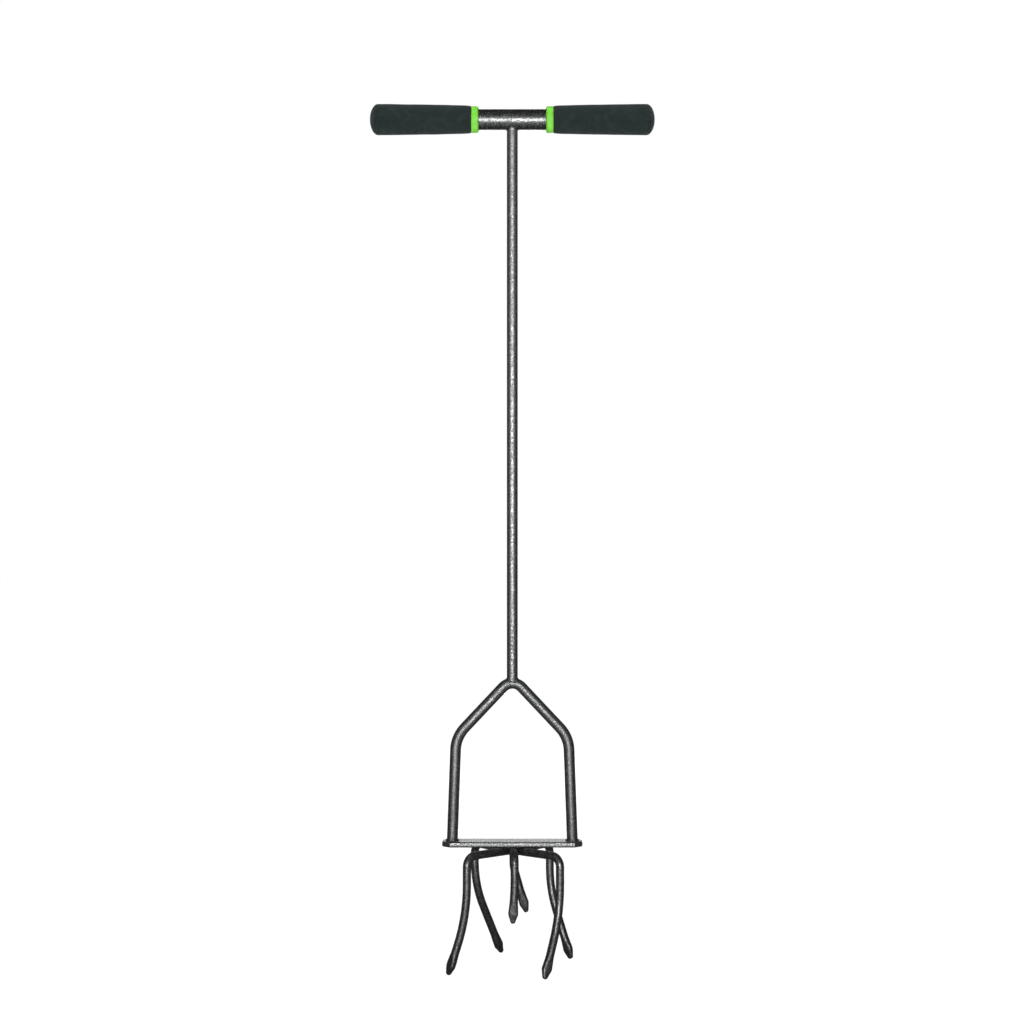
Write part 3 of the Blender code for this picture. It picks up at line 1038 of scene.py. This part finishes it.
@dataclass
class Tine:
    """A swept tine: an arm under the plate, an elbow, and a leg with a forged tip."""

    name: str
    direction: float  # degrees from +X, seen from above
    reach: float  # hub centre to the leg's centre line
    drop: float  # plate underside to the tip
    straight: float  # length of upright leg under the elbow
    sweep: float  # radius of the sweep
    lean: float  # degrees from upright at the tip
    flare: float  # degrees that the sweep turns outwards from the twist
    turn: float  # degrees that the tip's flat turns from facing outwards

    diameter: float = 0.0090
    arm_overrun: float = 0.0090  # behind the hub's centre, before the mitres are cut
    arm_start: float = 0.0270  # length that is there when they are
    elbow_bend: float = 0.0115
    forged_length: float = 0.0260
    point_length: float = 0.0100
    nose_length: float = 0.0019
    tip_width: float = 0.0108
    tip_thickness: float = 0.0072
    tip_end_width: float = 0.0046
    tip_end_thickness: float = 0.0040
    nose_bluntness: float = 0.87
    squareness: float = 1.3
    forge_rings: int = 26
    nose_rings: int = 6
    dent_size: float = 0.0045
    dent_depth: float = 0.00025

    def spread(self, along: float) -> float:
        """How far the hammer has spread the bar at a distance from its end, from 0 to 1."""
        return smooth_step((self.forged_length - along) / (self.forged_length - self.point_length))

    def forged_size(self, along: float, full: float, end: float) -> float:
        """How wide or thick the tip is.

        Args:
            along: the distance from the tine's end.
            full: the size where the tip is spread most.
            end: the size at the end, before the nose is rounded.

        Returns:
            The size there.
        """
        size = self.diameter + (full - self.diameter) * self.spread(along)
        size += (end - size) * max(0.0, 1.0 - along / self.point_length)
        closeness = max(0.0, 1.0 - along / self.nose_length)
        return size * math.sqrt(1.0 - (self.nose_bluntness * closeness) ** 2)

    def mitres(self, directions: Sequence[float]) -> list[Vector]:
        """The ways in which the arm is cut off at the hub's centre.

        Args:
            directions: the directions of all the tines.

        Returns:
            The outward direction of each cut.
        """
        ring = sorted(directions)
        place = ring.index(self.direction)
        half_before = (self.direction - ring[place - 1]) % FULL_TURN / 2
        half_after = (ring[(place + 1) % len(ring)] - self.direction) % FULL_TURN / 2
        return [
            heading(self.direction - half_before - QUARTER_TURN),
            heading(self.direction + half_after + QUARTER_TURN),
        ]

    def build(self, steel: Material, plate_bottom_z: float, directions: Sequence[float]) -> None:
        """Make the tine.

        Args:
            steel: its finish.
            plate_bottom_z: the height of the plate's underside.
            directions: the directions of all the tines.
        """
        radius = self.diameter / 2
        outward = heading(self.direction)
        aside = heading(self.direction - QUARTER_TURN + self.flare)
        hub = UP * (plate_bottom_z - FIT - radius)
        lean = math.radians(self.lean)
        slope = DOWN * math.cos(lean) + aside * math.sin(lean)

        bar = Rod(hub - outward * self.arm_overrun, outward, radius)
        bar.run(self.arm_start)
        for normal in self.mitres(directions):
            bar.cut(hub - normal * FIT / 2, normal)

        elbow = hub + outward * self.reach
        setback = self.sweep * math.tan(lean / 2)
        knee = elbow + DOWN * (self.elbow_bend + self.straight + setback)
        end_size = self.forged_size(0.0, self.tip_width, self.tip_end_width)
        tip_z = plate_bottom_z - self.drop + end_size / 2 * math.sin(lean)
        tip = knee + slope * ((knee.z - tip_z) / math.cos(lean))
        bar.follow([elbow, knee, tip - slope * self.forged_length], [self.elbow_bend, self.sweep])
        self._forge(bar)
        bar.become(f"{self.name}_tine", steel, f"tine_{self.name}")

    def _forge(self, bar: Rod) -> None:
        """Grow the forged tip: spread, flattened and drawn to a blunt point.

        Args:
            bar: the tine, grown up to where its tip starts.
        """
        outward = heading(self.direction + self.turn)
        face = (outward - bar.direction * outward.dot(bar.direction)).normalized()
        steps = [(self.forged_length - self.nose_length) / self.forge_rings] * self.forge_rings
        steps += [self.nose_length / self.nose_rings] * self.nose_rings
        left = self.forged_length
        for step in steps:
            bar.run(step)
            left = max(0.0, left - step)
            spread = self.spread(left)
            width = self.forged_size(left, self.tip_width, self.tip_end_width)
            thickness = self.forged_size(left, self.tip_thickness, self.tip_end_thickness)
            bar.flatten(face, width, thickness, self.squareness * spread)
            for vertex in bar.ring:
                proud = (vertex.co - bar.place).normalized() * noise.noise(vertex.co / self.dent_size)
                vertex.co += proud * self.dent_depth * spread
        bar.end()


# Direction, reach, drop, straight, sweep, lean, flare and turn, as the fields of a tine say
TINES = (
    Tine("front_left", 225.5, 0.0702, 0.1332, 0.0190, 0.218, 18.0, 44.0, 0.0),
    Tine("front_right", 315.0, 0.0731, 0.1332, 0.0190, 0.154, 22.7, 7.0, -25.0),
    Tine("back_right", 53.5, 0.0712, 0.1332, 0.0155, 0.142, 20.0, 5.0, 0.0),
    Tine("back_left", 126.5, 0.0712, 0.1332, 0.0085, 0.120, 25.4, 1.5, 15.0),
    Tine("centre_front", 274.0, 0.0361, 0.0797, 0.0180, 0.200, 3.0, 0.0, 0.0),
    Tine("centre_back", 88.0, 0.0361, 0.0797, 0.0075, 0.030, 16.0, 2.0, 0.0),
)


@dataclass
class Hub:
    """The weld metal under the plate, one lump in each corner between two arms."""

    steel: Material
    top_z: float
    directions: Sequence[float]
    radius: float = 0.0145
    depth: float = 0.0036
    arc_steps: int = 28
    waist: float = 0.28  # share of the radius that is missing half way between two arms
    ripple_pitch: float = 0.0016
    ripple_depth: float = 0.00012

    # Anticlockwise from the back right tine
    CORNERS: ClassVar[tuple[str, ...]] = (
        "back_right", "back_left", "left", "front_left", "front_right", "right",
    )

    def build(self) -> None:
        """Make the six lumps."""
        ring = sorted(self.directions)
        centre = UP * self.top_z
        squash = self.depth / self.radius
        for corner, first, second in zip(self.CORNERS, ring, ring[1:] + [ring[0] + FULL_TURN]):
            lump = Turning(0.0, self.top_z).to(self.radius, self.top_z)
            lump.round((0.0, self.top_z), -QUARTER_TURN, self.arc_steps, squash).revolve()
            lump.shift(self._ripple)
            lump.cut(centre, heading(first - QUARTER_TURN))
            lump.cut(centre, heading(second + QUARTER_TURN))
            middle, half = (first + second) / 2, (second - first) / 2
            lump.shift(lambda point: self._draw_in(point, middle, half))
            lump.become(f"{corner}_hub_weld", self.steel, f"hub_weld_{corner}")

    def _ripple(self, point: Vector) -> Vector:
        """Lay the rings of a weld's ripples on a lump's underside.

        Args:
            point: a point of the lump.

        Returns:
            The point's new place.
        """
        if point.z > self.top_z - self.ripple_depth:
            return point
        swing = abs(math.sin(math.pi * point.xy.length / self.ripple_pitch))
        return point + UP * self.ripple_depth * (1.0 - swing)

    def _draw_in(self, point: Vector, middle: float, half: float) -> Vector:
        """Draw a lump's rim towards the corner, as molten metal does.

        Args:
            point: a point of the lump.
            middle: the direction half way between the two arms, in degrees.
            half: half the angle between them.

        Returns:
            The point's new place.
        """
        if point.xy.length < MERGE_DISTANCE:
            return point
        aside = math.degrees(point.xy.angle_signed(heading(middle).xy))
        share = 1.0 - self.waist * (1.0 - min(1.0, abs(aside) / half) ** 2)
        return Vector((point.x * share, point.y * share, point.z))


@dataclass(frozen=True)
class SoftLight:
    """A rectangular softbox, with a grid where its spread is narrow."""

    name: str
    place: Point
    aim: Point
    width: float
    height: float
    watts: float
    spread_degrees: float = 180.0
    glossy: bool = True  # whether the tool mirrors it

    def build(self) -> None:
        """Hang the light."""
        data = bpy.data.lights.new(self.name, "AREA")
        data.shape = "RECTANGLE"
        data.size = self.width
        data.size_y = self.height
        data.energy = self.watts
        data.spread = math.radians(self.spread_degrees)
        lamp = bpy.data.objects.new(self.name, data)
        lamp.location = self.place
        beam = Vector(self.aim) - Vector(self.place)
        lamp.rotation_euler = beam.to_track_quat("-Z", "Y").to_euler()
        lamp.visible_camera = False
        lamp.visible_glossy = self.glossy
        bpy.context.scene.collection.objects.link(lamp)


@dataclass
class Studio:
    """A pale floor in white surroundings, soft lights and the camera."""

    camera_place: Point = (0.0, -2.6, 0.502)
    sensor_width: float = 36.0  # in millimetres
    focal_pixels: float = 2353.0
    image_pixels: float = 1024.0
    centre_pixel: float = 512.3
    reach: float = 9.0  # of the floor and the surroundings
    floor_sides: int = 96
    dome_sides: int = 48
    dome_rings: int = 24
    air_colour: Colour = (1.0, 1.0, 1.0, 1.0)
    air_light: float = 0.040

    LIGHTS: ClassVar[tuple[SoftLight, ...]] = (
        # A long strip in front draws the bright line along the bars
        SoftLight("key", (-0.12, -2.50, 0.44), (0.0, 0.0, 0.935), 2.20, 0.24, 9.0, 56.0),
        # A dim wall is what the top of the foot plate mirrors
        SoftLight("back_wall", (0.0, 2.20, 0.45), (0.0, 0.0, 0.45), 1.50, 0.80, 6.0),
        # Bounced light for the grips, from above and from below
        SoftLight("top_fill", (0.0, -0.45, 2.30), (0.0, 0.0, 0.94), 0.80, 0.30, 1.60, 30.0, glossy=False),
        SoftLight("low_fill", (0.0, -0.35, 0.02), (0.0, 0.0, 0.94), 0.80, 0.30, 0.88, 30.0, glossy=False),
        # A dim panel just under the floor is what the tines mirror
        SoftLight("floor_bounce", (0.0, -0.61, -0.002), (0.0, -0.61, 1.0), 0.90, 0.90, 0.38),
        # Two small lights draw the bars' bright line for a view from behind
        SoftLight("rear_high", (0.0, 2.60, 0.90), (0.0, 0.0, 1.10), 0.40, 0.20, 0.9, 40.0),
        SoftLight("rear_low", (0.0, 2.60, 0.07), (0.0, 0.0, 0.15), 0.40, 0.10, 0.5, 30.0),
        # Bounced light for the backs and the ends of the grips
        SoftLight("right_rear", (1.40, 1.90, 1.20), (0.0, 0.0, 0.50), 1.0, 1.0, 30.0, glossy=False),
        SoftLight("left_rear", (-1.40, 1.90, 1.20), (0.0, 0.0, 0.50), 1.0, 1.0, 30.0, glossy=False),
    )

    def build(self) -> None:
        """Set the stage."""
        self._surround()
        for light in self.LIGHTS:
            light.build()
        self._aim_camera()
        bpy.context.scene.view_settings.view_transform = "Standard"

    def _surround(self) -> None:
        """Lay the floor, put up the surroundings and fill them with a little light."""
        floor, dome = Shape(), Shape()
        bmesh.ops.create_circle(floor.bm, cap_ends=True, segments=self.floor_sides, radius=self.reach)
        sides, rings = self.dome_sides, self.dome_rings
        bmesh.ops.create_uvsphere(dome.bm, u_segments=sides, v_segments=rings, radius=self.reach)
        for thing in (
            floor.show("floor", PaleStage("pale_floor").make()),
            dome.show("surroundings", PaleStage("white_surroundings").make()),
        ):
            thing.visible_diffuse = False
            thing.visible_glossy = False
            thing.visible_shadow = False
        world = bpy.data.worlds.new("studio_air")
        world.use_nodes = True
        air = world.node_tree.nodes["Background"]
        air.inputs["Color"].default_value = self.air_colour
        air.inputs["Strength"].default_value = self.air_light
        bpy.context.scene.world = world

    def _aim_camera(self) -> None:
        """Put the camera level, in front of the tool."""
        data = bpy.data.cameras.new("camera")
        data.sensor_width = self.sensor_width
        data.lens = self.focal_pixels / self.image_pixels * data.sensor_width
        data.shift_x = -(self.centre_pixel - self.image_pixels / 2) / self.image_pixels
        camera = bpy.data.objects.new("camera", data)
        camera.location = self.camera_place
        camera.rotation_euler = (math.pi / 2, 0.0, 0.0)
        bpy.context.scene.collection.objects.link(camera)
        bpy.context.scene.camera = camera


def main() -> None:
    """Build the tool and its studio."""
    logging.basicConfig(level=logging.INFO, format="%(message)s")
    Studio().build()
    steel = SHAFT_COAT.make()
    handle = Handle(TUBE_COAT_PAINTED_DARKER.make())
    handle.build()
    plate = FootPlate(PLATE_COAT_PAINTED_BRIGHTER.make(), steel)
    yoke = Yoke(YOKE_COAT.make(), plate.top_z)
    yoke.build()
    plate.build(yoke)
    Shaft(steel, handle, yoke).build()
    tine_steel = TINE_COAT_PAINTED_LIGHT_AND_SHADE.make()
    directions = [tine.direction for tine in TINES]
    for tine in TINES:
        tine.build(tine_steel, plate.bottom_z, directions)
    Hub(steel, plate.bottom_z - FIT, directions).build()
    green, foam = MouldedGreen().make(), DarkFoam().make()
    for side in Side:
        Grip(side, handle.radius, handle.centre_z, green, foam).build()


if __name__ == "__main__":
    main()
